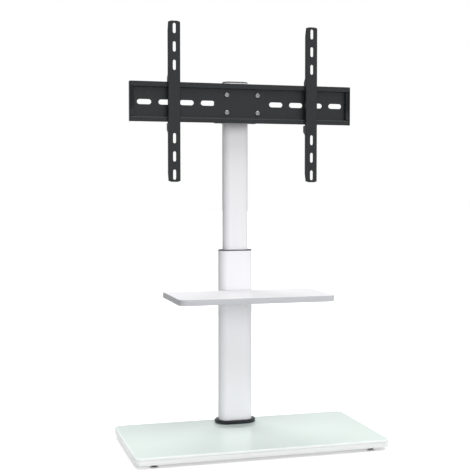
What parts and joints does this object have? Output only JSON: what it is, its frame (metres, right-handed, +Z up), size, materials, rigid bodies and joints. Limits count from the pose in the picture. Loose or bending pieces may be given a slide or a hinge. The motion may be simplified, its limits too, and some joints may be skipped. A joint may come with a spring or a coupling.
{
  "type": "tv stand with mount",
  "caption": "Floor stand for a television: glass topped base, telescopic flat-oval column with a shelf, and a swivelling mount head with hook-on arms.",
  "frame": {"origin": "on the floor, under the middle of the base's outline", "axes": "+Z up, -Y to the front where the viewer stands, +X to the viewer's right"},
  "size_m": [0.7, 0.36, 1.171],
  "materials": {
    "glass": "float glass painted white on its back, polished edges",
    "white_board": "fibreboard, white satin lacquer",
    "white_shelf": "fibreboard, white satin lacquer",
    "white_steel": "white powder coat, semi-gloss",
    "black_steel": "black powder coat, satin",
    "zinc_steel": "zinc plated",
    "black_plastic": "moulded, satin",
    "grey_plastic": "moulded, fine grain",
    "pale_plastic": "moulded, matt",
    "nylon": "natural, smooth",
    "rubber": "soft sheet, matt"
  },
  "bodies": {
    "base": {"glass_top": "glass", "base_board": "white_board", "backing_plate": "zinc_steel", "column_gasket": "rubber", "column_foot_plate": "white_steel", "column_collar": "black_plastic", "base_bolt_1": "zinc_steel", "base_bolt_2": "zinc_steel", "base_bolt_3": "zinc_steel", "base_bolt_4": "zinc_steel", "lower_tube": "white_steel", "top_bushing": "grey_plastic", "lock_block": "white_steel", "height_lock_screw_1": "zinc_steel", "height_lock_screw_2": "zinc_steel", "low_cable_grommet": "black_plastic"},
    "foot_1": {"foot_pad_1": "pale_plastic", "foot_stem_1": "black_plastic"},
    "foot_2": {"foot_pad_2": "pale_plastic", "foot_stem_2": "black_plastic"},
    "foot_3": {"foot_pad_3": "pale_plastic", "foot_stem_3": "black_plastic"},
    "foot_4": {"foot_pad_4": "pale_plastic", "foot_stem_4": "black_plastic"},
    "shelf": {"shelf_board": "white_shelf", "shelf_bracket": "white_steel", "shelf_clamp_back": "white_steel", "shelf_clamp_screw_1": "zinc_steel", "shelf_clamp_screw_2": "zinc_steel", "shelf_screw_1": "zinc_steel", "shelf_screw_2": "zinc_steel", "shelf_screw_3": "zinc_steel", "shelf_screw_4": "zinc_steel"},
    "mast": {"upper_tube": "white_steel", "mast_slider": "nylon", "mast_cap": "grey_plastic", "high_cable_grommet": "black_plastic", "mast_clamp_front": "black_steel", "mast_clamp_back": "black_steel", "mast_clamp_bolt_1": "zinc_steel", "mast_clamp_bolt_2": "zinc_steel", "mast_clamp_bolt_3": "zinc_steel", "mast_clamp_bolt_4": "zinc_steel"},
    "head": {"pivot_pin": "zinc_steel", "pivot_nut": "zinc_steel", "pivot_washer_upper": "nylon", "pivot_washer_lower": "nylon", "swivel_carrier": "black_steel", "cross_plate": "black_steel", "cross_end_cap_right": "black_plastic", "cross_end_cap_left": "black_plastic", "carrier_bolt_1": "zinc_steel", "carrier_bolt_2": "zinc_steel", "carrier_bolt_3": "zinc_steel", "carrier_bolt_4": "zinc_steel"},
    "left_arm": {"arm_left": "black_steel", "arm_left_lock_screw": "black_plastic"},
    "right_arm": {"arm_right": "black_steel", "arm_right_lock_screw": "black_plastic"}
  },
  "joints": [
    {"name": "foot_1_level", "type": "slide", "parent": "base", "child": "foot_1", "axis": [0, 0, -1], "range_m": [0, 0.006]},
    {"name": "foot_2_level", "type": "slide", "parent": "base", "child": "foot_2", "axis": [0, 0, -1], "range_m": [0, 0.006]},
    {"name": "foot_3_level", "type": "slide", "parent": "base", "child": "foot_3", "axis": [0, 0, -1], "range_m": [0, 0.006]},
    {"name": "foot_4_level", "type": "slide", "parent": "base", "child": "foot_4", "axis": [0, 0, -1], "range_m": [0, 0.006]},
    {"name": "shelf_height", "type": "slide", "parent": "base", "child": "shelf", "axis": [0, 0, 1], "range_m": [-0.2, 0.06]},
    {"name": "mast_height", "type": "slide", "parent": "base", "child": "mast", "axis": [0, 0, 1], "range_m": [-0.2, 0.06]},
    {"name": "head_swivel", "type": "hinge", "parent": "mast", "child": "head", "pos_m": [0, 0.0937, 0.951], "axis": [0, 0, 1], "range_deg": [-35, 35]},
    {"name": "left_arm_slide", "type": "slide", "parent": "head", "child": "left_arm", "axis": [1, 0, 0], "range_m": [-0.1, 0.1]},
    {"name": "right_arm_slide", "type": "slide", "parent": "head", "child": "right_arm", "axis": [1, 0, 0], "range_m": [-0.1, 0.1]}
  ]
}
